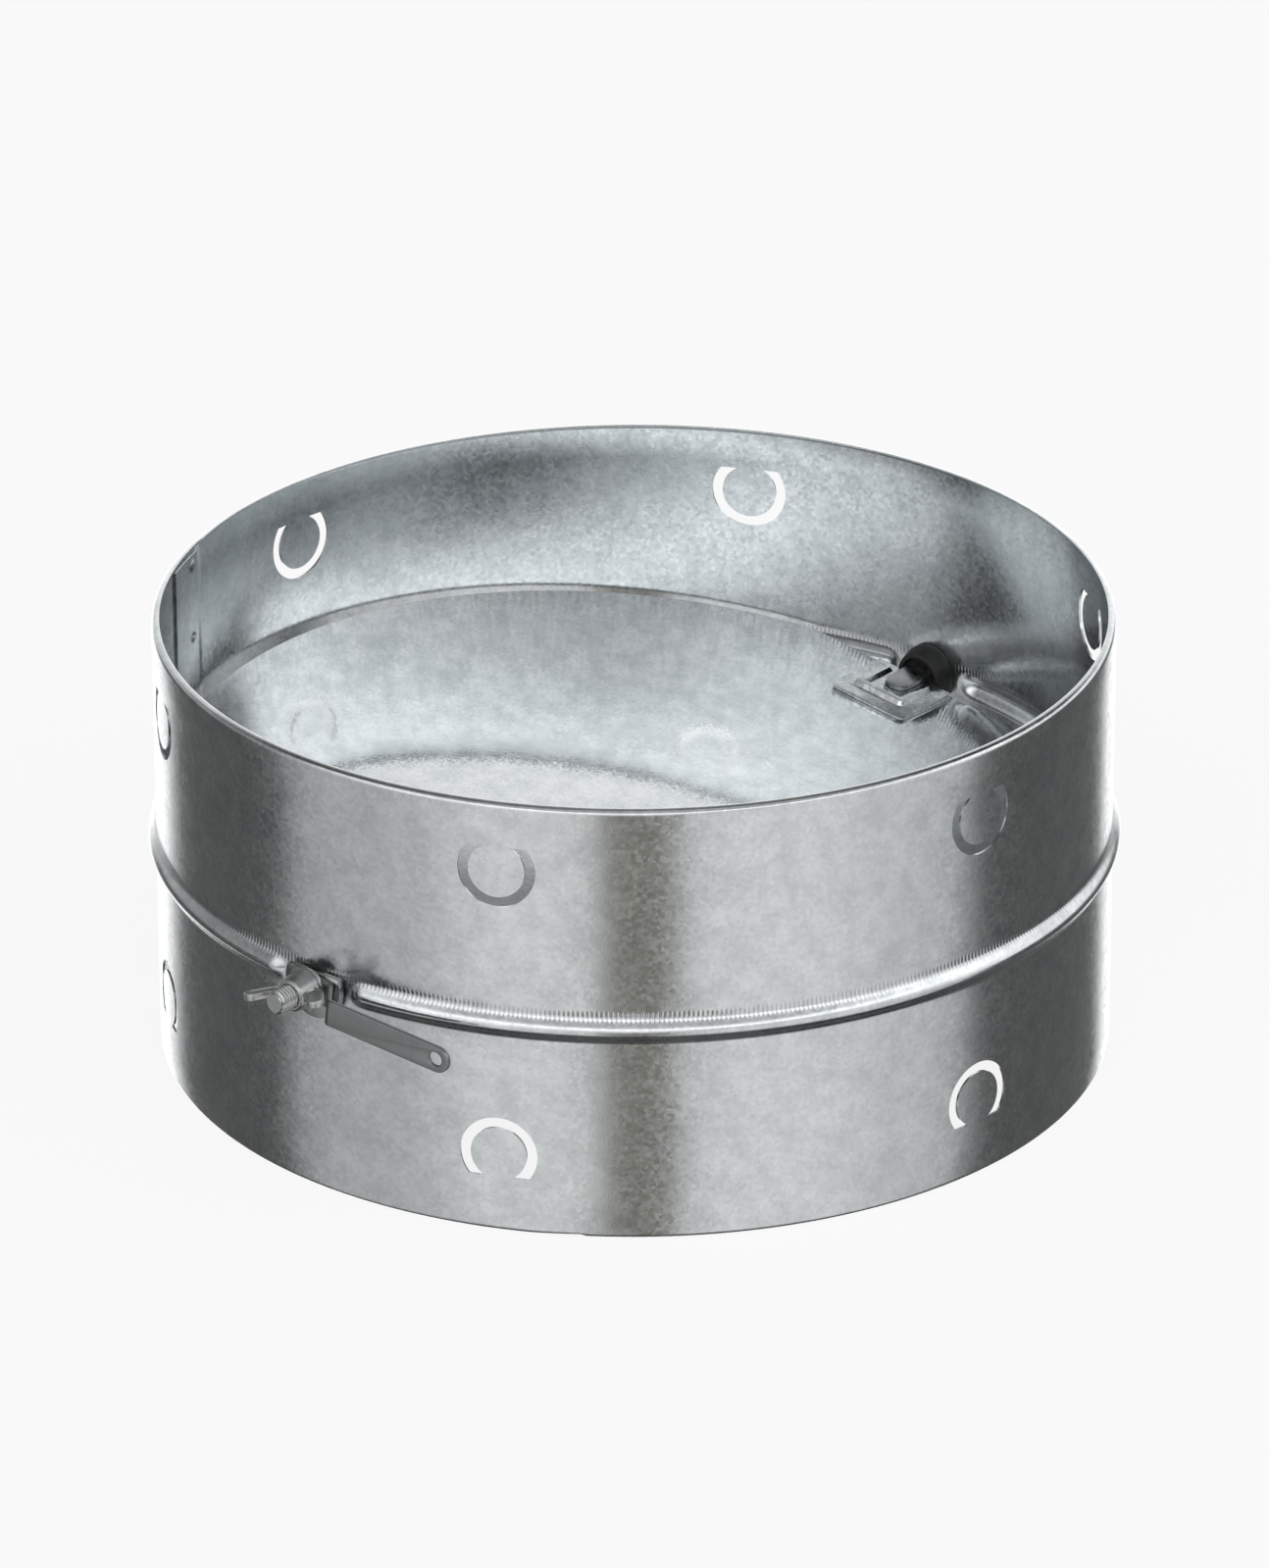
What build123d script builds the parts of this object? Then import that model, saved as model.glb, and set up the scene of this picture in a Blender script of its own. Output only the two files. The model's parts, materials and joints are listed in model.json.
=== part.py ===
"""Round single-blade volume control damper for sheet-metal duct, in millimetres.

A rolled galvanised sleeve with turned-in rims, one stiffening bead and two rows of lanced
C-shaped tabs carries a flat round blade on two stub shafts. The drive shaft ends in an M8
stud outside the wall, with a bent flat lever and a wing nut that locks it.

Frame: +Z is the duct axis, Z = 0 the lower rim, and the drive shaft leaves along -Y.
"""
from build123d import *
from math import asin, atan, degrees, radians, tan
import os

# ---------------------------------------------------------------- driving dimensions
# sleeve
duct_diameter = 314.0       # outside of the sleeve, a push fit inside 315 mm duct
casing_height = 150.0
casing_sheet = 0.7
rim_corner = 2.0            # outside radius of the turned-in rims
rim_flat = 0.6              # flat ring left on each rim, inside its corner
axis_height = 73.7          # the shaft line, and the bead's middle
bead_height = 2.6
bead_width = 10.4
bead_gap = 26.0             # unbeaded seat left at each pivot
lap_start = -64.5           # azimuth of the inner sheet's edge, degrees from the drive side
lap_width = 20.0
lap_inset = 4.0             # the inner sheet stops this far short of each rim
# lanced tabs
tabs_per_row = 6
tab_first = -36.6           # azimuth of the first tab
tab_pitch = 60.5            # punched at even pitch in the flat blank, so the seam gap is shorter
tab_radius = 9.3
tab_slot = 3.45
tab_neck = 8.1              # height of the slot's ends past the tab's centre
top_row_inset = 23.0
bottom_row_inset = 27.5
# blade
blade_play = 2.3            # all round, between the blade's edge and the sleeve
blade_sheet = 1.0
flat_inset = 8.7            # from the sleeve's inside to each of the blade's two flats
rest_tilt = 8.0             # the blade stands this far open, degrees
# folded clips
clip_sheet = 1.0
clip_length = 28.5
clip_width = 31.0
clip_corner = 3.5
clip_play = 0.15            # between the clip's fold and the blade's edge
fold_flat = 0.2             # flat left in the middle of the clip's rounded fold
window_play = 0.2           # beside the shaft's tongue
rib_height = 1.6
rib_outer_width = 21.5
rib_inset = 6.5             # from the clip's inner edge to the rib
rib_reach = 17.5
rib_arm = 3.9
rib_corner = 2.0
rib_wall = 0.8
rib_draft = 30.0
# stub shafts
shaft_diameter = 8.0
shaft_flats = 7.0           # across the flats of the drive stud
tongue_width = 9.0
tongue_thickness = 2.6
tongue_length = 13.2        # from the blade's flat to the tongue's round end
stud_reach = 21.0           # the drive stud's end, past the sleeve's outside
idle_reach = 5.6
end_chamfer = 0.8
# bushes and washers
bush_flange = 20.0
bush_nose = 17.0
bush_body = 12.0
bush_recess = 14.0
bush_recess_depth = 3.3
bush_rim = 2.0              # straight part of the flange, at the wall
neck_play = 0.3             # the shaft's neck stays this far inside the recess
bush_stand = 0.6            # how far the bush stands out of the wall
bush_gap = 0.6              # from the clip's fold to the bush
wall_washer_diameter = 23.0
wall_washer_thickness = 2.0
washer_bore_play = 0.2
# lever
lever_sheet = 1.5
lever_width = 9.0
lever_tail = 9.5
lever_bend_start = 8.2
lever_bend_end = 14.5
lever_rise = 8.1            # step from the head to the arm
lever_drop = 6.0            # how far the arm leans back in towards the wall
lever_reach = 60.5
lever_bend_radius = 1.6
lever_hole = 5.0
lever_hole_edge = 5.0       # from the hole's centre to the lever's end
# wing nut and its washer
nut_washer_diameter = 13.0
nut_washer_thickness = 1.4
nut_base_diameter = 13.0
nut_top_diameter = 11.0
nut_height = 8.3
nut_foot_break = 0.5
nut_crown_break = 0.8
nut_turn = 12.0             # how far the wings stand turned from the lever's line
wing_span = 33.0
wing_thickness = 2.2
wing_rise = 13.3            # top of the wings, over the nut's base
wing_ear = 2.9              # radius of a wing's round end
wing_foot = 1.6             # lower root of a wing, over the nut's base
wing_shoulder = 1.2         # upper root of a wing, below the nut's top
wing_root = 1.2             # how far a wing reaches into the hub
wing_rim = 1.2              # raised rim left round the dished face of a wing
wing_dish = 0.4             # depth of that dish, on both faces
# idle end
push_ring_diameter = 14.0
push_ring_thickness = 0.8
push_ring_rise = 1.6        # from its seat to the underside of its crown
push_ring_crown = 1.2       # width of the flat crown round the shaft
# clearances
running = 0.05              # radial, shaft in bush and stud in nut
seat_play = 0.05            # between stacked faces of different moving groups
fit_play = 0.1              # radial, bush in wall and lever on flats
cut_margin = 1.0            # how far a cutter runs past what it cuts

# ---------------------------------------------------------------- values that follow
wall_outside = duct_diameter / 2
wall_inside = wall_outside - casing_sheet
blade_radius = wall_inside - blade_play
blade_flat = wall_inside - flat_inset
blade_top = blade_sheet / 2
clip_outside = blade_flat + clip_play + clip_sheet
bush_inner_end = clip_outside + bush_gap
bush_outer_end = wall_outside + bush_stand
lever_seat = bush_outer_end + wall_washer_thickness + seat_play
nut_washer_seat = lever_seat + lever_sheet + seat_play
nut_seat = nut_washer_seat + nut_washer_thickness + seat_play
push_ring_seat = bush_outer_end + wall_washer_thickness + seat_play
tongue_end = blade_flat - tongue_length
clip_inner_edge = clip_outside - clip_length

# Every pivot piece is drawn with X along the wall, Y outwards along the shaft and Z up the duct,
# from the point where the shaft line crosses the duct axis.
idle_side = Pos(0, 0, axis_height)
drive_side = Pos(0, 0, axis_height) * Rot(0, 0, 180)
blade_axis = Axis((0, 0, axis_height), (0, 1, 0))


def at_rest(piece):
    """Turn a piece of the blade's group to the angle at which the blade stands."""
    return piece.rotate(blade_axis, rest_tilt)


def turned(*profile):
    """Solid of revolution about the shaft line, from (radius, distance outwards) points."""
    return revolve(make_face(Polyline(*profile, close=True)), Axis.Y)


# ---------------------------------------------------------------- sleeve
def wall_section(outside, thickness, low, high):
    """Upright strip of sheet on the XZ plane, with square ends."""
    return Plane.XZ * Pos(outside - thickness / 2, (low + high) / 2) * Rectangle(thickness, high - low)


def sleeve_section():
    """The sleeve's wall on the XZ plane, with both rims turned in."""
    outside, inside = wall_outside, wall_inside
    lip = outside - rim_corner - rim_flat
    high, t = casing_height, casing_sheet
    corner_in, corner_out = rim_corner - t, rim_corner
    lower_centre = (outside - rim_corner, rim_corner)
    upper_centre = (outside - rim_corner, high - rim_corner)
    edge = [
        Line((lip, 0), (lower_centre[0], 0)),
        CenterArc(lower_centre, corner_out, -90, 90),
        Line((outside, rim_corner), (outside, high - rim_corner)),
        CenterArc(upper_centre, corner_out, 0, 90),
        Line((upper_centre[0], high), (lip, high)),
        Line((lip, high), (lip, high - t)),
        Line((lip, high - t), (upper_centre[0], high - t)),
        CenterArc(upper_centre, corner_in, 0, 90),
        Line((inside, high - rim_corner), (inside, rim_corner)),
        CenterArc(lower_centre, corner_in, -90, 90),
        Line((lower_centre[0], t), (lip, t)),
        Line((lip, t), (lip, 0)),
    ]
    return Plane.XZ * make_face(Wire(edge))


def bead_section(outside, root, half):
    """Cross-section of the bead as a filled shape, from radius root out to the crest.

    With half it is only the lower half, which turned about its own middle line makes the
    domed end of a bead.
    """
    reach, rise = bead_width / 2, bead_height
    foot, crest = (outside, -reach), (outside + rise, 0)
    middle = (outside + rise / 2, -reach / 2)
    lower = TangentArc(foot, middle, tangent=(0, 1)) + TangentArc(crest, middle, tangent=(0, -1))
    if half:
        rest = Polyline(crest, (root, 0), (root, -reach), foot)
    else:
        lower += mirror(lower, Plane.XZ)
        rest = Polyline((outside, reach), (root, reach), (root, -reach), foot)
    return Pos(0, 0, axis_height) * (Plane.XZ * make_face(lower + rest))


def bead_solid(outside, root):
    """Both halves of the bead, each from one pivot seat to the other, with domed ends."""
    clear = degrees(asin(bead_gap / 2 / wall_outside)) + degrees(bead_width / 2 / wall_outside)
    section = bead_section(outside, root, half=False)
    end_section = bead_section(outside, root, half=True)
    solid = None
    for start in (-90 + clear, 90 + clear):
        run = Rot(0, 0, start) * revolve(section, Axis.Z, 180 - 2 * clear)
        solid = run if solid is None else solid + run
        for end in (start, start + 180 - 2 * clear):
            middle_line = Axis((0, 0, axis_height), (1, 0, 0))
            solid += Rot(0, 0, end) * revolve(end_section, middle_line, 360)
    return solid


def lap_strip():
    """The inner layer of the lap seam, which follows the bead's groove."""
    width, spare = degrees(lap_width / wall_inside), degrees(cut_margin / wall_inside)
    section = wall_section(wall_inside, casing_sheet, lap_inset, casing_height - lap_inset)
    strip = revolve(section, Axis.Z, width)
    inner_face = wall_inside - casing_sheet
    strip += revolve(bead_section(wall_inside, inner_face, half=False), Axis.Z, width)
    groove = bead_section(inner_face, inner_face - cut_margin, half=False)
    strip -= Rot(0, 0, -spare) * revolve(groove, Axis.Z, width + 2 * spare)
    return Rot(0, 0, lap_start - 90 - width) * strip


def tab_slot_cutter():
    """C-shaped slot round one lanced tab, with square-cut ends, drawn for the upper row."""
    ring = Circle(tab_radius + tab_slot) - Circle(tab_radius)
    reach = 2 * (tab_radius + tab_slot)
    ring -= Pos(0, tab_neck + reach / 2) * Rectangle(reach, reach)
    start = Plane((0, tab_radius - wall_inside, 0), x_dir=(1, 0, 0), z_dir=(0, -1, 0))
    return extrude(start * ring, tab_radius + casing_sheet + cut_margin)


def make_casing():
    """Sleeve with bead, lap seam, two pivot holes and two rows of lanced tabs."""
    sleeve = revolve(sleeve_section(), Axis.Z)
    sleeve += bead_solid(wall_outside, wall_outside - casing_sheet / 2)
    sleeve -= bead_solid(wall_inside, wall_inside - cut_margin)
    sleeve += lap_strip()
    hole = Cylinder(bush_body / 2 + fit_play, 2 * duct_diameter)
    sleeve -= Pos(0, 0, axis_height) * Rot(90, 0, 0) * hole
    upper = tab_slot_cutter()
    lower = mirror(upper, Plane.XY)
    for n in range(tabs_per_row):
        turn = Rot(0, 0, tab_first + n * tab_pitch)
        sleeve -= turn * Pos(0, 0, casing_height - top_row_inset) * upper
        sleeve -= turn * Pos(0, 0, bottom_row_inset) * lower
    return sleeve


# ---------------------------------------------------------------- blade and clips
def make_blade():
    """Flat round plate with a short flat at each pivot."""
    outline = Circle(blade_radius) & Rectangle(2 * blade_radius, 2 * blade_flat)
    plate = extrude(outline, blade_sheet / 2, both=True)
    return Pos(0, 0, axis_height) * plate


def rib_outline(shrink):
    """Plan of the U-shaped rib round the clip's window."""
    half, arm = rib_outer_width / 2 - shrink, rib_arm - 2 * shrink
    low = clip_inner_edge + rib_inset + shrink
    high = low + rib_reach - 2 * shrink
    outer = Pos(0, (low + high) / 2) * RectangleRounded(2 * half, high - low, rib_corner - shrink)
    inner_low, inner_half = low + arm, half - arm
    inner = Pos(0, inner_low + rib_reach / 2) * Rectangle(2 * inner_half, rib_reach)
    return outer - inner


def rib_block(shrink):
    """The rib as a solid with sloping sides."""
    top = rib_outline(shrink + rib_height * tan(radians(rib_draft)))
    return loft([rib_outline(shrink), Pos(0, 0, rib_height) * top])


def window_outline():
    """Plan of the clip's window: round inside, open at the fold."""
    half = tongue_width / 2 + window_play
    centre = tongue_end + tongue_width / 2
    reach = clip_outside - centre + cut_margin
    return Pos(0, centre) * Circle(half) + Pos(0, centre + reach / 2) * Rectangle(2 * half, reach)


def make_clip():
    """Sheet clip folded over the blade's flat, with a raised rib round an open window."""
    half = blade_top + clip_sheet
    middle, fold_line = clip_outside - clip_length / 2, clip_outside - clip_corner
    leaf = Pos(0, middle) * RectangleRounded(clip_width, clip_length, clip_corner)
    leaf += Pos(0, fold_line + clip_corner / 2) * Rectangle(clip_width, clip_corner)
    clip = extrude(leaf, half, both=True)
    fold = clip.edges().filter_by(Axis.X).group_by(Axis.Y)[-1]
    clip = fillet(fold, half - fold_flat / 2)
    gap_depth = clip_outside - clip_sheet
    gap = Pos(0, gap_depth / 2) * Rectangle(2 * clip_width, gap_depth)
    clip -= extrude(gap, blade_top, both=True)
    clip += Pos(0, 0, half) * rib_block(0)
    clip -= Pos(0, 0, blade_top) * rib_block(rib_wall)
    clip -= Pos(0, 0, blade_top) * extrude(window_outline(), clip_sheet + rib_height + cut_margin)
    return clip


# ---------------------------------------------------------------- stub shafts and bushes
def make_stub(reach, flats):
    """Round shaft whose inner end is forged to a flat tongue that lies on the blade.

    It leaves the wall by reach; with flats the part outside the lever's seat is two-sided.
    """
    radius = shaft_diameter / 2
    neck_start = bush_inner_end + neck_play
    neck_end = bush_inner_end + bush_recess_depth - neck_play
    round_end = tongue_end + tongue_width / 2
    plan = Pos(0, round_end) * Circle(tongue_width / 2)
    plan += Pos(0, (round_end + neck_start) / 2) * Rectangle(tongue_width, neck_start - round_end)
    tongue = Pos(0, 0, blade_top) * extrude(plan, tongue_thickness)
    tongue_middle = blade_top + tongue_thickness / 2
    across = Plane.XZ * Pos(0, tongue_middle) * Rectangle(tongue_width, tongue_thickness)
    neck = loft([Pos(0, neck_start, 0) * across, Pos(0, neck_end, 0) * (Plane.XZ * Circle(radius))])
    end, point = wall_outside + reach, radius - end_chamfer
    rod = turned((0, neck_end), (radius, neck_end), (radius, end - end_chamfer), (point, end), (0, end))
    if flats:
        for side in (-1, 1):
            cut = Pos(side * (flats / 2 + radius / 2), 0) * Box(radius, 2 * (end - lever_seat), 4 * radius)
            rod -= Pos(0, end, 0) * cut
    return rod + neck + tongue


def make_bush():
    """Moulded bush: nose inside the duct, body through the wall, recess for the tongue."""
    bore, recess = shaft_diameter / 2 + running, bush_recess / 2
    floor = bush_inner_end + bush_recess_depth
    nose, flange, body = bush_nose / 2, bush_flange / 2, bush_body / 2
    head = turned(
        (recess, bush_inner_end), (nose, bush_inner_end), (flange, wall_inside - bush_rim),
        (flange, wall_outside), (bore, wall_outside), (bore, floor), (recess, floor),
    )
    head &= Cylinder(wall_inside, 4 * flange)
    start, end = floor + (wall_inside - floor) / 2, bush_outer_end
    return head + turned((bore, start), (body, start), (body, end), (bore, end))


def flat_ring(inner, outer, seat, thickness):
    """Flat washer round the shaft line, standing outwards from its seat."""
    return turned((inner, seat), (outer, seat), (outer, seat + thickness), (inner, seat + thickness))


def make_wall_washer():
    """Large flat washer that closes the bush from outside."""
    bore = shaft_diameter / 2 + washer_bore_play
    return flat_ring(bore, wall_washer_diameter / 2, bush_outer_end, wall_washer_thickness)


def make_push_ring():
    """Domed push-on ring that keeps the idle shaft in its bush."""
    bore, outer, t = shaft_diameter / 2, push_ring_diameter / 2, push_ring_thickness
    crown, flat = push_ring_seat + push_ring_rise, bore + push_ring_crown
    return turned(
        (bore, crown), (bore, crown + t), (flat, crown + t), (outer, push_ring_seat + t),
        (outer, push_ring_seat), (outer - t, push_ring_seat), (flat - t / 2, crown),
    )


# ---------------------------------------------------------------- lever and wing nut
def make_lever():
    """Flat bar, stepped out past its head, with a two-sided hole and a round-ended arm.

    It is drawn towards -X, which the drive side turns to +X.
    """
    head = lever_seat + lever_sheet / 2
    bend = (-lever_bend_end, head + lever_rise)
    slope = lever_drop / (lever_reach - lever_bend_end)
    past_tip = lever_reach + lever_width
    hole_at = lever_reach - lever_hole_edge
    tip = (-past_tip, bend[1] - slope * (past_tip - lever_bend_end))
    hole = (-hole_at, bend[1] - slope * (hole_at - lever_bend_end))
    tail, start = (lever_tail + lever_width, head), (-lever_bend_start, head)
    line = FilletPolyline(tail, start, bend, tip, radius=lever_bend_radius)
    section = make_face(offset(line, lever_sheet / 2, side=Side.BOTH).edges())
    bar = extrude(section, lever_width, both=True)
    length = lever_reach + lever_tail
    outline = Pos((lever_tail - lever_reach) / 2, 0) * SlotOverall(length, lever_width)
    across = shaft_flats + 2 * fit_play
    outline -= Circle(shaft_diameter / 2 + fit_play) & Rectangle(across, 2 * shaft_diameter)
    bar &= extrude(Plane.XZ * outline, 2 * wall_outside, both=True)
    lean = degrees(atan(slope))
    return bar - Pos(*hole) * Rot(0, 0, lean) * Rot(90, 0, 0) * Cylinder(lever_hole / 2, 4 * lever_sheet)


def make_nut_washer():
    """Plain washer under the wing nut."""
    bore = shaft_diameter / 2 + washer_bore_play
    return flat_ring(bore, nut_washer_diameter / 2, nut_washer_seat, nut_washer_thickness)


def wing_outline(inset):
    """Side view of one wing, from inside the hub to its round ear, all edges moved in by inset."""
    root = nut_top_diameter / 2 - wing_root
    foot = (root, nut_seat + wing_foot + inset)
    shoulder = (root, nut_seat + nut_height - wing_shoulder - inset)
    centre = (wing_span / 2 - wing_ear, nut_seat + wing_rise - wing_ear)
    ear = CenterArc(centre, wing_ear - inset, -45, 180)
    under = Spline(foot, ear @ 0, tangents=[(1, 0), ear % 0])
    over = Spline(ear @ 1, shoulder, tangents=[ear % 1, (-1, 0)])
    return make_face(Wire([*under.edges(), *ear.edges(), *over.edges(), Line(shoulder, foot)]))


def make_wing():
    """One forged wing, dished on both faces inside a raised rim."""
    wing = extrude(wing_outline(0), wing_thickness / 2, both=True)
    dish = Pos(0, 0, wing_thickness / 2 - wing_dish) * extrude(wing_outline(wing_rim), wing_thickness)
    wing -= dish
    return wing - mirror(dish, Plane.XY)


def make_wing_nut():
    """Forged wing nut: a coned hub with two flared wings."""
    bore, base, top = shaft_diameter / 2 + running, nut_base_diameter / 2, nut_top_diameter / 2
    end = nut_seat + nut_height
    nut = turned(
        (bore, nut_seat), (base - nut_foot_break, nut_seat), (base, nut_seat + nut_foot_break),
        (top, end - nut_crown_break), (top - nut_crown_break, end), (bore, end),
    )
    wing = make_wing()
    nut += wing
    nut += Rot(0, 180, 0) * wing
    return Rot(0, nut_turn, 0) * nut


# ---------------------------------------------------------------- assembly
pieces = {
    "casing": make_casing(),
    "drive_bush": drive_side * make_bush(),
    "idle_bush": idle_side * make_bush(),
    "drive_wall_washer": drive_side * make_wall_washer(),
    "idle_wall_washer": idle_side * make_wall_washer(),
    "blade": at_rest(make_blade()),
    "drive_clip": at_rest(drive_side * make_clip()),
    "idle_clip": at_rest(idle_side * make_clip()),
    "drive_shaft": at_rest(drive_side * make_stub(stud_reach, shaft_flats)),
    "idle_shaft": at_rest(idle_side * make_stub(idle_reach, None)),
    "push_ring": at_rest(idle_side * make_push_ring()),
    "lever": at_rest(drive_side * make_lever()),
    "nut_washer": drive_side * make_nut_washer(),
    "wing_nut": drive_side * make_wing_nut(),
}

os.makedirs("parts", exist_ok=True)
for name, piece in pieces.items():
    export_step(piece, f"parts/{name}.step")
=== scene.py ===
"""Looks for a round volume control damper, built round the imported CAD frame. Metres, +Z along the duct."""
import bpy, bmesh, json
from math import atan2, cos, hypot, pi, radians, sin
from mathutils import Matrix, Quaternion, Vector

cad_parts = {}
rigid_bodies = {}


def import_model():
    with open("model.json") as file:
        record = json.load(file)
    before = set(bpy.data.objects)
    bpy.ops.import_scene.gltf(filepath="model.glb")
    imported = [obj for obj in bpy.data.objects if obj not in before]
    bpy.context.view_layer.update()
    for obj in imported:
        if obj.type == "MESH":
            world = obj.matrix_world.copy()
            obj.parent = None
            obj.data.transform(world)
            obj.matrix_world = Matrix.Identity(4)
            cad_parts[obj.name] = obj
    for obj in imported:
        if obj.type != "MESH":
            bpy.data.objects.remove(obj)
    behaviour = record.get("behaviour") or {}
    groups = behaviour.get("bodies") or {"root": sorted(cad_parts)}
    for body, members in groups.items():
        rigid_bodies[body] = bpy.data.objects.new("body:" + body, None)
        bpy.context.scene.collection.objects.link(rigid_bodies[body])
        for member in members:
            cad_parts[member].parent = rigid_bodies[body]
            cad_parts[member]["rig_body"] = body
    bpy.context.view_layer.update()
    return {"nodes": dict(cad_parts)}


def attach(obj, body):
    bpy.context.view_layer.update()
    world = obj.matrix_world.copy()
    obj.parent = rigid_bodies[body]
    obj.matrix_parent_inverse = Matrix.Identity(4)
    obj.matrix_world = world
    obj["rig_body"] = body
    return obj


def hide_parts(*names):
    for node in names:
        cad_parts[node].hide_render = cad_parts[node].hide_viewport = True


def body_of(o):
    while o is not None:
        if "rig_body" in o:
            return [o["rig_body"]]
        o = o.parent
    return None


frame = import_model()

scene = bpy.context.scene
nodes = frame["nodes"]
mm = 0.001

# ================================================================ camera, floor and studio light
# A long lens from above, so the sleeve's two rims stay almost parallel ellipses. Soft boxes stand
# round the object as a ring of bright and dark bands, which the zinc draws out into upright stripes.
aim = Vector((0, 0, 75.6 * mm))
camera_turn, camera_rise, camera_distance = radians(40.0), radians(24.888), 3.443
outward = Vector((sin(camera_turn) * cos(camera_rise), -cos(camera_turn) * cos(camera_rise),
                  sin(camera_rise)))
camera_roll = Quaternion((0, 0, 1), radians(-0.19))
camera = bpy.data.objects.new("camera", bpy.data.cameras.new("camera"))
scene.collection.objects.link(camera)
camera.location = aim + camera_distance * outward
camera.rotation_euler = ((-outward).to_track_quat("-Z", "Y") @ camera_roll).to_euler()
camera.data.sensor_width = 36
camera.data.lens = 240.56
camera.data.shift_y = 0.02045
camera.data.clip_end = 60
scene.camera = camera
scene.view_settings.view_transform = "Standard"


def linear(hex_colour):
    """sRGB hex to the linear colour that shaders take."""
    channels = (int(hex_colour[i:i + 2], 16) / 255 for i in (1, 3, 5))
    return tuple(c / 12.92 if c <= 0.04045 else ((c + 0.055) / 1.055) ** 2.4 for c in channels) + (1,)


def add_node(tree, kind, links=None, sockets=None, **settings):
    """Add a shader node with its settings, its sockets' values and its incoming links."""
    node = tree.nodes.new(kind)
    for key, value in settings.items():
        setattr(node, key, value)
    for socket, value in (sockets or {}).items():
        node.inputs[socket].default_value = value
    for socket, source in (links or {}).items():
        tree.links.new(source, node.inputs[socket])
    return node


world = bpy.data.worlds.new("studio")
scene.world = world
world.use_nodes = True
sky = world.node_tree
sky.nodes.clear()
around = add_node(sky, "ShaderNodeTexCoord")
square = add_node(sky, "ShaderNodeVectorRotate", {"Vector": around.outputs["Generated"]},
                  {"Angle": -camera_turn}, rotation_type="Z_AXIS")
apart = add_node(sky, "ShaderNodeSeparateXYZ", {"Vector": square.outputs["Vector"]})
away = add_node(sky, "ShaderNodeMath", {0: apart.outputs["Y"]}, {1: -1.0}, operation="MULTIPLY")
angle = add_node(sky, "ShaderNodeMath", {0: apart.outputs["X"], 1: away.outputs[0]}, operation="ARCTAN2")
share = add_node(sky, "ShaderNodeMapRange", {"Value": angle.outputs[0]}, {"From Min": -pi, "From Max": pi})


def light_ring(boxes):
    """A ramp of brightness by compass angle from the camera's side, in degrees; the front gap is warmer."""
    ramp = add_node(sky, "ShaderNodeValToRGB", {"Fac": share.outputs[0]})
    ramp.color_ramp.interpolation = "EASE"
    stops = ramp.color_ramp.elements
    stops.remove(stops[1])
    for n, (compass, bright) in enumerate(boxes):
        stop = stops[0] if n == 0 else stops.new((compass + 180) / 360)
        stop.position = (compass + 180) / 360
        warmth = 1 if abs(compass) < 10 and bright < 0.3 else 0
        stop.color = (bright, bright * (1 - 0.06 * warmth), bright * (1 - 0.2 * warmth), 1)
    return ramp


def ring_change(low_rise, high_rise, low, high):
    """Fade from one ring of light to the next one up, between two heights of the unit sphere."""
    fade = add_node(sky, "ShaderNodeMapRange", {"Value": apart.outputs["Z"]},
                    {"From Min": low_rise, "From Max": high_rise})
    fade.interpolation_type = "SMOOTHSTEP"
    return add_node(sky, "ShaderNodeMixRGB", {0: fade.outputs[0], 1: low.outputs[0], 2: high.outputs[0]})


# the table level: white paper behind, dark gaps at both sides, the dark camera stand in front
low_ring = light_ring([
    (-180, 1.8), (-157, 1.7), (-139, 0.13), (-96, 0.11), (-84, 0.56), (-58, 0.62), (-34, 0.93), (-12, 0.95),
    (-5, 0.23), (6, 0.23), (14, 0.95), (34, 0.98), (80, 0.72), (92, 0.11), (147, 0.14), (158, 1.5),
    (180, 1.8)])
# just over the rims: the lit wall behind, a dimmer room in front
middle_ring = light_ring([
    (-180, 1.45), (-150, 0.85), (-120, 0.36), (-96, 0.32), (-76, 0.8), (-50, 1.3), (-24, 1.25), (-6, 0.9),
    (10, 0.85), (30, 0.9), (64, 1.0), (92, 1.3), (128, 1.3), (152, 1.4), (180, 1.45)])
# overhead: a wide soft box in front and to the right, a lit wall behind
high_ring = light_ring([
    (-180, 0.95), (-152, 0.95), (-132, 0.28), (-100, 0.2), (-70, 1.5), (-20, 1.95), (0, 1.85), (40, 1.9),
    (102, 1.8), (114, 0.1), (148, 0.1), (158, 0.95), (180, 0.95)])
ground = add_node(sky, "ShaderNodeMapRange", {"Value": apart.outputs["Z"]},
                  {"From Min": -0.95, "From Max": -0.7, "To Min": 0.15, "To Max": 1.0})
ground.interpolation_type = "SMOOTHSTEP"
zenith = add_node(sky, "ShaderNodeMapRange", {"Value": apart.outputs["Z"]},
                  {"From Min": 0.58, "From Max": 0.68, "To Min": 1.0, "To Max": 0.3})
strength = add_node(sky, "ShaderNodeMath", {0: ground.outputs[0], 1: zenith.outputs[0]}, operation="MULTIPLY")
rings = ring_change(0.33, 0.47, ring_change(-0.06, 0.1, low_ring, middle_ring), high_ring)
lamp = add_node(sky, "ShaderNodeBackground", {"Color": rings.outputs[0], "Strength": strength.outputs[0]})
add_node(sky, "ShaderNodeOutputWorld", {"Surface": lamp.outputs[0]})

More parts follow.
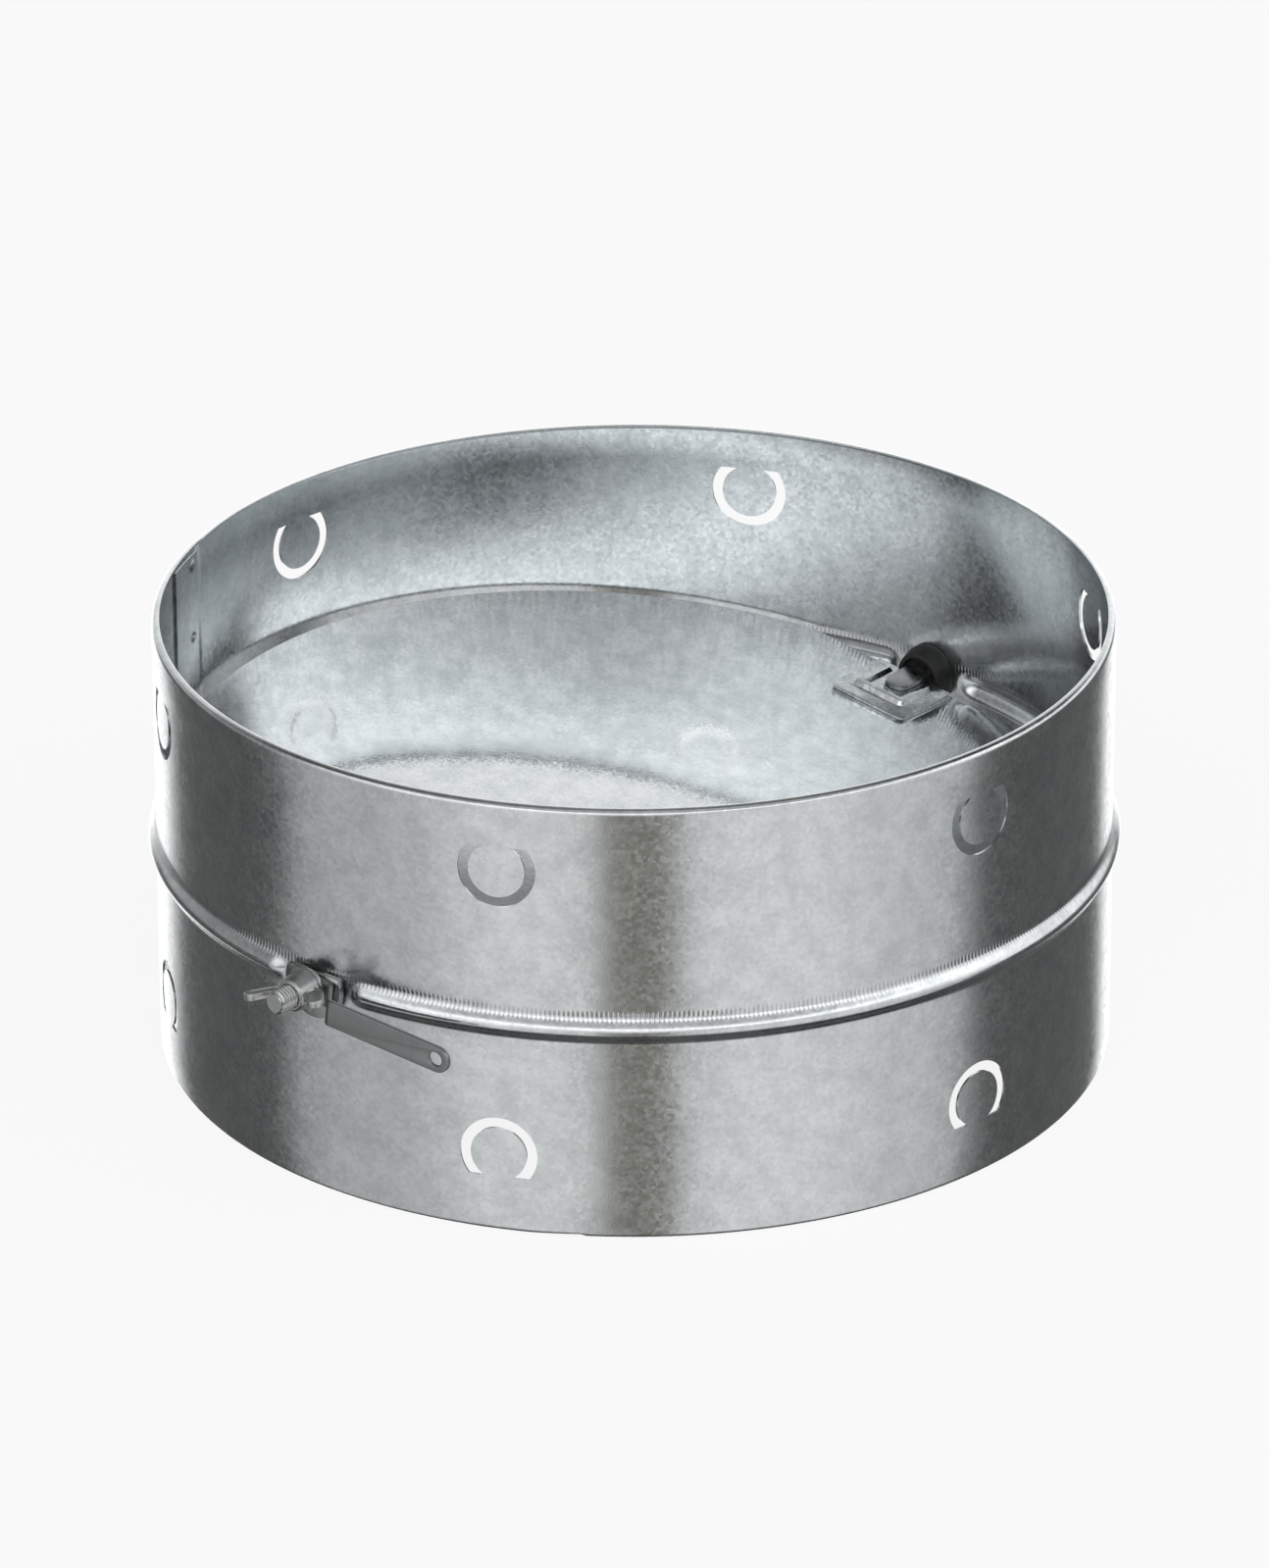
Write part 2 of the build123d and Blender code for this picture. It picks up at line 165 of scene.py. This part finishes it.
bm = bmesh.new()
floor_size, floor_gap = 6, 0.1 * mm
bmesh.ops.create_grid(bm, x_segments=1, y_segments=1, size=floor_size)
bmesh.ops.translate(bm, verts=bm.verts, vec=(0, 0, -floor_gap))
floor_mesh = bpy.data.meshes.new("floor")
bm.to_mesh(floor_mesh)
bm.free()
floor = bpy.data.objects.new("floor", floor_mesh)
scene.collection.objects.link(floor)
floor.visible_glossy = False
floor.visible_diffuse = False
white_paper = bpy.data.materials.new("white_paper")
white_paper.use_nodes = True
paper = white_paper.node_tree
paper.nodes.clear()
matt = add_node(paper, "ShaderNodeBsdfDiffuse", sockets={"Color": (0.9, 0.9, 0.9, 1)})
glow = add_node(paper, "ShaderNodeEmission", sockets={"Color": (1, 1, 1, 1), "Strength": 1.0})
either = add_node(paper, "ShaderNodeMixShader", {1: glow.outputs[0], 2: matt.outputs[0]}, {0: 0.12})
add_node(paper, "ShaderNodeOutputMaterial", {"Surface": either.outputs[0]})
floor_mesh.materials.append(white_paper)

# ================================================================ sleeve
# Galvanised sheet rolled to a ring, both rims turned in and a bead rolled out round the middle,
# which stops short of the two pivot seats. Twelve C-shaped tabs are lanced in two rows.
wall_outside = 157 * mm
sheet = 0.7 * mm
wall_inside = wall_outside - sheet
height = 150 * mm
axis_height = 73.7 * mm
rim_turn = 2 * mm
lip = wall_outside - 2.6 * mm
bead_rise, bead_reach = 2.6 * mm, 5.2 * mm
bead_end = 13 * mm
seam_turn, seam_step, seam_spread = radians(-72), 0.35 * mm, radians(9)
nick_turn, nick_depth, nick_spread = radians(33.8), 0.7 * mm, radians(6)


def join(name, bm, body, material=None, crease=radians(35)):
    """Turn a bmesh into a piece of the scene that rides on a body."""
    mesh = bpy.data.meshes.new(name)
    bm.to_mesh(mesh)
    bm.free()
    piece = bpy.data.objects.new(name, mesh)
    scene.collection.objects.link(piece)
    if material:
        mesh.materials.append(material)
    finish_mesh(piece, crease)
    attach(piece, body)
    return piece


def finish_mesh(piece, crease=radians(35)):
    """Smooth shading, with the edges sharper than the crease angle left hard."""
    piece.data.shade_smooth()
    piece.data.set_sharp_from_angle(angle=crease)


def swell(x, y, z):
    """How far the bead stands out of the plain wall at a point."""
    compass = atan2(x, -y)
    along = wall_outside * min(abs(compass), pi - abs(compass))
    beside = max(0, bead_end + bead_reach - along)
    off = hypot(beside, z - axis_height) / bead_reach
    return bead_rise * 0.5 * (1 + cos(pi * off)) if off < 1 else 0


bm = bmesh.new()
bead_foot = bead_reach + 0.4 * mm
section = [(wall_outside, 0), (wall_outside, axis_height - bead_foot),
           (wall_outside, axis_height + bead_foot), (wall_outside, height), (lip, height),
           (lip, height - sheet), (wall_inside, height - sheet), (wall_inside, axis_height + bead_foot),
           (wall_inside, axis_height - bead_foot), (wall_inside, sheet), (lip, sheet), (lip, 0)]
points = [bm.verts.new((r, 0, z)) for r, z in section]
edges = [bm.edges.new((a, b)) for a, b in zip(points, points[1:] + points[:1])]
bmesh.ops.subdivide_edges(bm, edges=[edges[1], edges[7]], cuts=21)
bmesh.ops.subdivide_edges(bm, edges=[edges[0], edges[2], edges[6], edges[8]], cuts=5)
for radius, levels, offset, segments in ((wall_outside, (0, height), rim_turn, 6),
                                         (wall_inside, (sheet, height - sheet), rim_turn - sheet, 4),
                                         (lip, (0, sheet, height - sheet, height), 0.2 * mm, 2)):
    for level in levels:
        corner = min(bm.verts, key=lambda v: (v.co - Vector((radius, 0, level))).length)
        bmesh.ops.bevel(bm, geom=[corner], offset=offset, segments=segments, affect="VERTICES",
                        profile=0.5, material=-1)
bmesh.ops.spin(bm, geom=bm.verts[:] + bm.edges[:], cent=(0, 0, 0), axis=(0, 0, 1), angle=2 * pi, steps=600,
               use_merge=True)
for vert in bm.verts:
    x, y, z = vert.co
    out = swell(x, y, z)
    past = (seam_turn - atan2(x, -y)) % (2 * pi)
    out -= seam_step * max(0, 1 - past / seam_spread) if past > 1e-4 else 0
    vert.co.x, vert.co.y = x * (1 + out / hypot(x, y)), y * (1 + out / hypot(x, y))
    before = (nick_turn - atan2(x, -y)) % (2 * pi)
    if z < rim_turn and before < nick_spread:
        vert.co.z += nick_depth * (1 - before / nick_spread) * (1 - z / rim_turn)
bmesh.ops.recalc_face_normals(bm, faces=bm.faces)
sleeve = join("sleeve", bm, "casing")

# each tab's slot is punched by a C-shaped blade, its ends cut square
tab_inner, tab_outer, tab_neck = 9.3 * mm, 12.75 * mm, 8.1 * mm
tab_first, tab_pitch, tabs_in_row = radians(-36.6), radians(60.5), 6
top_row, bottom_row = height - 23 * mm, 27.5 * mm
punch_depth = 12 * mm
pivot_hole, pivot_cut = 6.1 * mm, 20 * mm
punches = bmesh.new()
for n in range(tabs_in_row):
    for row, upright in ((top_row, 1), (bottom_row, -1)):
        blank = bmesh.new()
        rung = [blank.verts.new((tab_inner, 0, 0)), blank.verts.new((tab_outer, 0, 0))]
        blank.edges.new(rung)
        bmesh.ops.spin(blank, geom=blank.verts[:] + blank.edges[:], cent=(0, 0, 0), axis=(0, 1, 0),
                       angle=2 * pi, steps=72, use_merge=True)
        bmesh.ops.bisect_plane(blank, geom=blank.verts[:] + blank.edges[:] + blank.faces[:],
                               plane_co=(0, 0, tab_neck), plane_no=(0, 0, 1), clear_outer=True)
        slab = bmesh.ops.extrude_face_region(blank, geom=blank.faces[:])
        bmesh.ops.translate(blank, verts=[g for g in slab["geom"] if isinstance(g, bmesh.types.BMVert)],
                            vec=(0, punch_depth, 0))
        bmesh.ops.scale(blank, vec=(1, 1, upright), verts=blank.verts)
        bmesh.ops.translate(blank, verts=blank.verts, vec=(0, -wall_outside - punch_depth / 2, row))
        bmesh.ops.rotate(blank, verts=blank.verts, cent=(0, 0, 0),
                         matrix=Matrix.Rotation(tab_first + tab_pitch * n, 3, "Z"))
        bmesh.ops.recalc_face_normals(blank, faces=blank.faces)
        part = bpy.data.meshes.new("blank")
        blank.to_mesh(part)
        blank.free()
        punches.from_mesh(part)
        bpy.data.meshes.remove(part)
for side in (1, -1):
    hole = bmesh.ops.create_cone(punches, cap_ends=True, segments=48, radius1=pivot_hole, radius2=pivot_hole,
                                 depth=pivot_cut)
    bmesh.ops.rotate(punches, verts=hole["verts"], cent=(0, 0, 0), matrix=Matrix.Rotation(pi / 2, 3, "X"))
    bmesh.ops.translate(punches, verts=hole["verts"], vec=(0, side * wall_outside, axis_height))
punch_mesh = bpy.data.meshes.new("punches")
punches.to_mesh(punch_mesh)
punches.free()
punch = bpy.data.objects.new("punches", punch_mesh)
scene.collection.objects.link(punch)
lancing = sleeve.modifiers.new("lancing", "BOOLEAN")
lancing.object, lancing.operation, lancing.solver = punch, "DIFFERENCE", "EXACT"
with bpy.context.temp_override(object=sleeve, active_object=sleeve, selected_objects=[sleeve]):
    bpy.ops.object.modifier_apply(modifier="lancing")
bpy.data.objects.remove(punch)
finish_mesh(sleeve)
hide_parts("casing")


def zinc_sheet(name, dark, bright, rough_low, rough_high, crystal, lean):
    """Hot-dip galvanised sheet: frosty crystals, each a little off in tone, gloss and lean."""
    material = bpy.data.materials.new(name)
    material.use_nodes = True
    tree = material.node_tree
    tree.nodes.clear()
    place = add_node(tree, "ShaderNodeTexCoord")
    surface = add_node(tree, "ShaderNodeNewGeometry")
    cloud = add_node(tree, "ShaderNodeTexNoise", {"Vector": place.outputs["Object"]},
                     {"Scale": 1 / (9 * mm), "Detail": 4, "Roughness": 0.62})
    cells = add_node(tree, "ShaderNodeTexVoronoi", {"Vector": place.outputs["Object"]},
                     {"Scale": 1 / crystal})
    three = add_node(tree, "ShaderNodeSeparateXYZ", {"Vector": cells.outputs["Color"]})
    both = add_node(tree, "ShaderNodeMath", {0: three.outputs["X"], 2: cloud.outputs["Fac"]}, {1: 0.22},
                    operation="MULTIPLY_ADD")
    tone = add_node(tree, "ShaderNodeMapRange", {"Value": both.outputs[0]},
                    {"From Min": 0.4, "From Max": 0.82})
    colour = add_node(tree, "ShaderNodeMixRGB", {"Fac": tone.outputs[0]},
                      {"Color1": linear(dark), "Color2": linear(bright)})
    gloss = add_node(tree, "ShaderNodeMapRange", {"Value": three.outputs["Y"]},
                     {"To Min": rough_low, "To Max": rough_high})
    middle = add_node(tree, "ShaderNodeVectorMath", {0: cells.outputs["Color"]}, {1: (0.5, 0.5, 0.5)},
                      operation="SUBTRACT")
    facet = add_node(tree, "ShaderNodeVectorMath", {0: middle.outputs[0], 2: surface.outputs["Normal"]},
                     {1: (lean, lean, lean)}, operation="MULTIPLY_ADD")
    level = add_node(tree, "ShaderNodeVectorMath", {0: facet.outputs[0]}, operation="NORMALIZE")
    grit = add_node(tree, "ShaderNodeTexNoise", {"Vector": place.outputs["Object"]},
                    {"Scale": 1 / (0.7 * mm), "Detail": 1})
    relief = add_node(tree, "ShaderNodeBump", {"Height": grit.outputs["Fac"], "Normal": level.outputs[0]},
                      {"Strength": 0.1, "Distance": 0.1 * mm})
    metal = add_node(tree, "ShaderNodeBsdfPrincipled",
                     {"Base Color": colour.outputs[0], "Roughness": gloss.outputs[0],
                      "Normal": relief.outputs[0]},
                     {"Metallic": 1.0})
    add_node(tree, "ShaderNodeOutputMaterial", {"Surface": metal.outputs[0]})
    return material


sleeve_zinc = zinc_sheet("galvanised_sheet_rolled", "#bdc1c3", "#d3d6d7", 0.16, 0.26, 1.3 * mm, 0.016)
sleeve.data.materials.clear()
sleeve.data.materials.append(sleeve_zinc)

# The beading rolls leave a row of fine upright nicks on the bead's upper flank, 1.5 mm apart, and the
# forming rolls leave faint upright streaks. Both are too shallow for the mesh, so the bump has them. The
# nicks' grooves are also darkened in the base colour, which is painted shade.
tree = sleeve_zinc.node_tree
metal = next(node for node in tree.nodes if node.type == "BSDF_PRINCIPLED")
place = add_node(tree, "ShaderNodeTexCoord")
spot = add_node(tree, "ShaderNodeSeparateXYZ", {"Vector": place.outputs["Object"]})
compass = add_node(tree, "ShaderNodeMath", {0: spot.outputs["X"], 1: spot.outputs["Y"]}, operation="ARCTAN2")
nick_pitch = 1.5 * mm
nicks_round = round(2 * pi * wall_outside / nick_pitch)
count = add_node(tree, "ShaderNodeMath", {0: compass.outputs[0]}, {1: nicks_round}, operation="MULTIPLY")
wave = add_node(tree, "ShaderNodeMath", {0: count.outputs[0]}, operation="SINE")
below = add_node(tree, "ShaderNodeMapRange", {"Value": spot.outputs["Z"]},
                 {"From Min": axis_height + 3.0 * mm, "From Max": axis_height + 3.8 * mm})
above = add_node(tree, "ShaderNodeMapRange", {"Value": spot.outputs["Z"]},
                 {"From Min": axis_height + 7.0 * mm, "From Max": axis_height + 5.8 * mm})
flank = add_node(tree, "ShaderNodeMath", {0: below.outputs[0], 1: above.outputs[0]}, operation="MULTIPLY")
nicks = add_node(tree, "ShaderNodeMath", {0: wave.outputs[0], 1: flank.outputs[0]}, operation="MULTIPLY")
streak_width, streak_length = 0.8 * mm, 25 * mm
around_wall = add_node(tree, "ShaderNodeMath", {0: compass.outputs[0]}, {1: wall_outside / streak_width},
                       operation="MULTIPLY")
up_wall = add_node(tree, "ShaderNodeMath", {0: spot.outputs["Z"]}, {1: 1 / streak_length},
                   operation="MULTIPLY")
rolled = add_node(tree, "ShaderNodeCombineXYZ", {"X": around_wall.outputs[0], "Y": up_wall.outputs[0]})
streaks = add_node(tree, "ShaderNodeTexNoise", {"Vector": rolled.outputs[0]}, {"Scale": 1.0, "Detail": 2})
height_map = add_node(tree, "ShaderNodeMath", {0: streaks.outputs["Fac"], 2: nicks.outputs[0]}, {1: 0.05},
                      operation="MULTIPLY_ADD")
sheet_normal = metal.inputs["Normal"].links[0].from_socket
marks = add_node(tree, "ShaderNodeBump", {"Height": height_map.outputs[0], "Normal": sheet_normal},
                 {"Strength": 0.8, "Distance": 0.04 * mm})
tree.links.new(marks.outputs[0], metal.inputs["Normal"])
# painted shade: the base colour is darkened down to 0.72 in the nicks' grooves, where shade would fall
nick_painted_shade = add_node(tree, "ShaderNodeMapRange", {"Value": nicks.outputs[0]},
                 {"From Min": -1.0, "From Max": 0.0, "To Min": 0.72, "To Max": 1.0})
sheet_colour = metal.inputs["Base Color"].links[0].from_socket
nick_shaded_colour = add_node(tree, "ShaderNodeMixRGB", {1: sheet_colour, 2: nick_painted_shade.outputs[0]}, {0: 1.0},
                  blend_type="MULTIPLY")
tree.links.new(nick_shaded_colour.outputs[0], metal.inputs["Base Color"])

# ================================================================ lap seam
# The sheet's inner edge laps 20 mm under the outer one and follows the bead's groove. A row of spot
# welds holds it, each a shallow round dimple from the electrode.
lap_start, lap_width, lap_inset = radians(-64.5), 20 * mm, 4 * mm
weld_pitch, weld_radius, weld_depth = 25.8 * mm, 2.4 * mm, 0.45 * mm
weld_place, weld_top, weld_count = 0.78, 7.6 * mm, 6
weld_turn = lap_start - weld_place * lap_width / wall_inside
welds = [height - weld_top - n * weld_pitch for n in range(weld_count)]
lap_gap = 0.03 * mm
lap_face = wall_inside - lap_gap - sheet
bm = bmesh.new()
edge = bm.edges.new([bm.verts.new((lap_face, 0, z)) for z in (lap_inset, height - lap_inset)])
bmesh.ops.subdivide_edges(bm, edges=[edge], cuts=300)
bmesh.ops.rotate(bm, verts=bm.verts, cent=(0, 0, 0), matrix=Matrix.Rotation(lap_start - pi / 2, 3, "Z"))
bmesh.ops.spin(bm, geom=bm.verts[:] + bm.edges[:], cent=(0, 0, 0), axis=(0, 0, -1),
               angle=lap_width / wall_inside, steps=44)
for vert in bm.verts:
    x, y, z = vert.co
    out = swell(x, y, z)
    across = wall_inside * (atan2(x, -y) - weld_turn)
    near = min(hypot(across, z - weld) for weld in welds)
    if near < weld_radius:
        out += weld_depth * 0.5 * (1 + cos(pi * near / weld_radius))
    vert.co.x, vert.co.y = x * (1 + out / hypot(x, y)), y * (1 + out / hypot(x, y))
bmesh.ops.recalc_face_normals(bm, faces=bm.faces)
facing = bm.faces[:][0]
if facing.normal.dot(facing.calc_center_median()) > 0:
    bmesh.ops.reverse_faces(bm, faces=bm.faces)
skin = bmesh.ops.extrude_face_region(bm, geom=bm.faces[:])
lap_sheet = sheet - 0.05 * mm
for vert in (g for g in skin["geom"] if isinstance(g, bmesh.types.BMVert)):
    x, y, z = vert.co
    vert.co.x, vert.co.y = x * (1 + lap_sheet / hypot(x, y)), y * (1 + lap_sheet / hypot(x, y))
bmesh.ops.recalc_face_normals(bm, faces=bm.faces)
lap = join("lap_strip", bm, "casing", sleeve_zinc)
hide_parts("casing")

# ================================================================ blade
# A round plate cut from smooth galvanised sheet, brighter than the sleeve, with a short flat at each
# pivot. Its sheared edge is lightly broken, and the two clips hold it.


def eased_copy(source, width, crease=radians(35)):
    """A copy of a CAD node with its sharp edges broken, which stands for that node."""
    bm = bmesh.new()
    bm.from_mesh(nodes[source].data)
    bmesh.ops.remove_doubles(bm, verts=bm.verts, dist=0.002 * mm)
    bmesh.ops.dissolve_limit(bm, verts=bm.verts, edges=bm.edges, angle_limit=radians(1.5))
    sharp = [e for e in bm.edges if len(e.link_faces) == 2 and e.calc_face_angle() > crease]
    bmesh.ops.bevel(bm, geom=sharp, offset=width, segments=2, profile=0.5, affect="EDGES", material=-1,
                    clamp_overlap=True)
    piece = join(source + "_finished", bm, body_of(nodes[source])[0])
    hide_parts(source)
    return piece


blade = eased_copy("blade", 0.15 * mm)
blade_zinc = zinc_sheet("galvanised_sheet_flat", "#cdd2d5", "#e6eaec", 0.04, 0.09, 0.9 * mm, 0.012)
blade.data.materials.append(blade_zinc)

# ================================================================ clips
# Galvanised sheet, stamped and folded over the blade's flats, with a raised rib round an open window
# where the shaft's tongue shows. Pressing leaves its crystals rougher and its corners bright.
clip_zinc = zinc_sheet("galvanised_sheet_stamped", "#a9adae", "#dcdfe0", 0.14, 0.24, 1.1 * mm, 0.04)
for name in ("drive_clip", "idle_clip"):
    clip = eased_copy(name, 0.12 * mm)
    clip.data.materials.append(clip_zinc)

# ================================================================ stub shafts
# Turned steel, forged flat to a tongue at the inner end and zinc plated. The drive shaft ends in an
# M8 thread with two milled flats, which carries the lever and the wing nut.
def plated_steel(name, dark, bright, rough_low, rough_high):
    """Electroplated zinc on steel: an even satin grey, dulled in soft clouds by handling."""
    material = bpy.data.materials.new(name)
    material.use_nodes = True
    tree = material.node_tree
    tree.nodes.clear()
    place = add_node(tree, "ShaderNodeTexCoord")
    cloud = add_node(tree, "ShaderNodeTexNoise", {"Vector": place.outputs["Object"]},
                     {"Scale": 1 / (4 * mm), "Detail": 5, "Roughness": 0.6})
    grain = add_node(tree, "ShaderNodeTexNoise", {"Vector": place.outputs["Object"]},
                     {"Scale": 1 / (0.35 * mm), "Detail": 2})
    colour = add_node(tree, "ShaderNodeMixRGB", {"Fac": cloud.outputs["Fac"]},
                      {"Color1": linear(dark), "Color2": linear(bright)})
    gloss = add_node(tree, "ShaderNodeMapRange", {"Value": cloud.outputs["Fac"]},
                     {"From Min": 0.3, "From Max": 0.7, "To Min": rough_low, "To Max": rough_high})
    relief = add_node(tree, "ShaderNodeBump", {"Height": grain.outputs["Fac"]},
                      {"Strength": 0.15, "Distance": 0.08 * mm})
    metal = add_node(tree, "ShaderNodeBsdfPrincipled",
                     {"Base Color": colour.outputs[0], "Roughness": gloss.outputs[0],
                      "Normal": relief.outputs[0]},
                     {"Metallic": 1.0})
    add_node(tree, "ShaderNodeOutputMaterial", {"Surface": metal.outputs[0]})
    return material


shaft_plating = plated_steel("zinc_plated_bar", "#9a9c9c", "#c6c8c8", 0.22, 0.4)
idle_shaft = eased_copy("idle_shaft", 0.15 * mm)
idle_shaft.data.materials.append(shaft_plating)

thread_start, stud_end, rest_tilt = 161.3 * mm, 178 * mm, radians(8)
crest, root, pitch = 3.95 * mm, 3.15 * mm, 1.25 * mm
half_flats = 3.5 * mm
bm = bmesh.new()
bm.from_mesh(nodes["drive_shaft"].data)
bmesh.ops.remove_doubles(bm, verts=bm.verts, dist=0.002 * mm)
cut = bmesh.ops.bisect_plane(bm, geom=bm.verts[:] + bm.edges[:] + bm.faces[:], plane_co=(0, -thread_start, 0),
                             plane_no=(0, -1, 0), clear_outer=True)
bmesh.ops.edgenet_fill(bm, edges=[g for g in cut["geom_cut"] if isinstance(g, bmesh.types.BMEdge)])
drive_shaft = join("drive_shaft_bar", bm, "blade", shaft_plating)
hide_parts("drive_shaft")

bm = bmesh.new()
tooth = [(root, 0), (crest, 0.5 * mm), (crest, 0.7 * mm), (root, 1.2 * mm), (root, pitch)]
points = [bm.verts.new((r, -thread_start + 0.2 * mm - along, 0)) for r, along in tooth]
edges = [bm.edges.new(pair) for pair in zip(points, points[1:])]
turns, per_turn, end_radius = 13, 40, 3.0 * mm
bmesh.ops.spin(bm, geom=points + edges, cent=(0, 0, 0), axis=(0, 1, 0), dvec=(0, -pitch / per_turn, 0),
               angle=2 * pi * turns, steps=turns * per_turn)
bmesh.ops.remove_doubles(bm, verts=bm.verts, dist=0.01 * mm)
core = bmesh.ops.create_cone(bm, cap_ends=True, segments=per_turn, radius1=root, radius2=root,
                             depth=stud_end - thread_start)
bmesh.ops.rotate(bm, verts=core["verts"], cent=(0, 0, 0), matrix=Matrix.Rotation(pi / 2, 3, "X"))
bmesh.ops.translate(bm, verts=core["verts"], vec=(0, -(stud_end + thread_start) / 2, 0))
for vert in bm.verts:
    x, y, z = vert.co
    limit = min(1, (end_radius + max(0, stud_end + y)) / max(hypot(x, z), 1e-6))
    vert.co = (max(-half_flats, min(half_flats, x * limit)), max(y, -stud_end), z * limit)
bmesh.ops.rotate(bm, verts=bm.verts, cent=(0, 0, 0), matrix=Matrix.Rotation(rest_tilt, 3, "Y"))
bmesh.ops.translate(bm, verts=bm.verts, vec=(0, 0, axis_height))
bmesh.ops.recalc_face_normals(bm, faces=bm.faces)
thread = join("drive_shaft_thread", bm, "blade", shaft_plating)
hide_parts("drive_shaft")

# ================================================================ bushes
# Black nylon, injection moulded in one piece with a flange, and pressed through the wall. The mould
# leaves a fine matt grain, with a soft sheen on the rounded edges.
black_nylon = bpy.data.materials.new("moulded_black_nylon")
black_nylon.use_nodes = True
tree = black_nylon.node_tree
tree.nodes.clear()
place = add_node(tree, "ShaderNodeTexCoord")
grain = add_node(tree, "ShaderNodeTexNoise", {"Vector": place.outputs["Object"]},
                 {"Scale": 1 / (0.4 * mm), "Detail": 3})
cloud = add_node(tree, "ShaderNodeTexNoise", {"Vector": place.outputs["Object"]},
                 {"Scale": 1 / (5 * mm), "Detail": 3})
colour = add_node(tree, "ShaderNodeMixRGB", {"Fac": cloud.outputs["Fac"]},
                  {"Color1": linear("#141414"), "Color2": linear("#232325")})
gloss = add_node(tree, "ShaderNodeMapRange", {"Value": cloud.outputs["Fac"]}, {"To Min": 0.42, "To Max": 0.6})
relief = add_node(tree, "ShaderNodeBump", {"Height": grain.outputs["Fac"]},
                  {"Strength": 0.25, "Distance": 0.06 * mm})
nylon = add_node(tree, "ShaderNodeBsdfPrincipled",
                 {"Base Color": colour.outputs[0], "Roughness": gloss.outputs[0],
                  "Normal": relief.outputs[0]},
                 {"IOR": 1.53})
add_node(tree, "ShaderNodeOutputMaterial", {"Surface": nylon.outputs[0]})
for name in ("drive_bush", "idle_bush"):
    bush = eased_copy(name, 0.2 * mm)
    bush.data.materials.append(black_nylon)

# ================================================================ washers and push-on ring
# Plain stamped steel washers and a domed spring-steel ring, tumbled and zinc plated, so their edges
# are soft and bright. The drive washer is cropped flat here, level with the lever's head, while its
# solid is a full disc.
washer_plating = plated_steel("zinc_plated_washer", "#8f9191", "#bdbfbf", 0.2, 0.36)
washer_flat = 78.2 * mm
for name in ("drive_wall_washer", "idle_wall_washer", "push_ring", "nut_washer"):
    washer = eased_copy(name, 0.2 * mm)
    if name == "drive_wall_washer":
        bm = bmesh.new()
        bm.from_mesh(washer.data)
        cut = bmesh.ops.bisect_plane(bm, geom=bm.verts[:] + bm.edges[:] + bm.faces[:],
                                     plane_co=(0, 0, washer_flat), plane_no=(0, 0, 1), clear_outer=True)
        bmesh.ops.edgenet_fill(bm, edges=[g for g in cut["geom_cut"] if isinstance(g, bmesh.types.BMEdge)])
        bmesh.ops.recalc_face_normals(bm, faces=bm.faces)
        bm.to_mesh(washer.data)
        bm.free()
    washer.data.materials.append(washer_plating)

# ================================================================ lever
# A flat steel bar, blanked, pierced and bent, then zinc plated to a dull grey. Blanking leaves its
# edges brighter than its faces.
lever = eased_copy("lever", 0.22 * mm)
lever.data.materials.append(plated_steel("zinc_plated_flat_bar", "#7d7f80", "#8f9192", 0.26, 0.36))

# ================================================================ wing nut
# Steel forged between two dies, tapped and zinc plated, which gives rounded edges and a slightly
# uneven skin. It turns on the stud and clamps the lever.
wing_nut = eased_copy("wing_nut", 0.3 * mm)
wing_nut.data.materials.append(plated_steel("zinc_plated_forging", "#8c8e8d", "#c4c6c5", 0.24, 0.42))
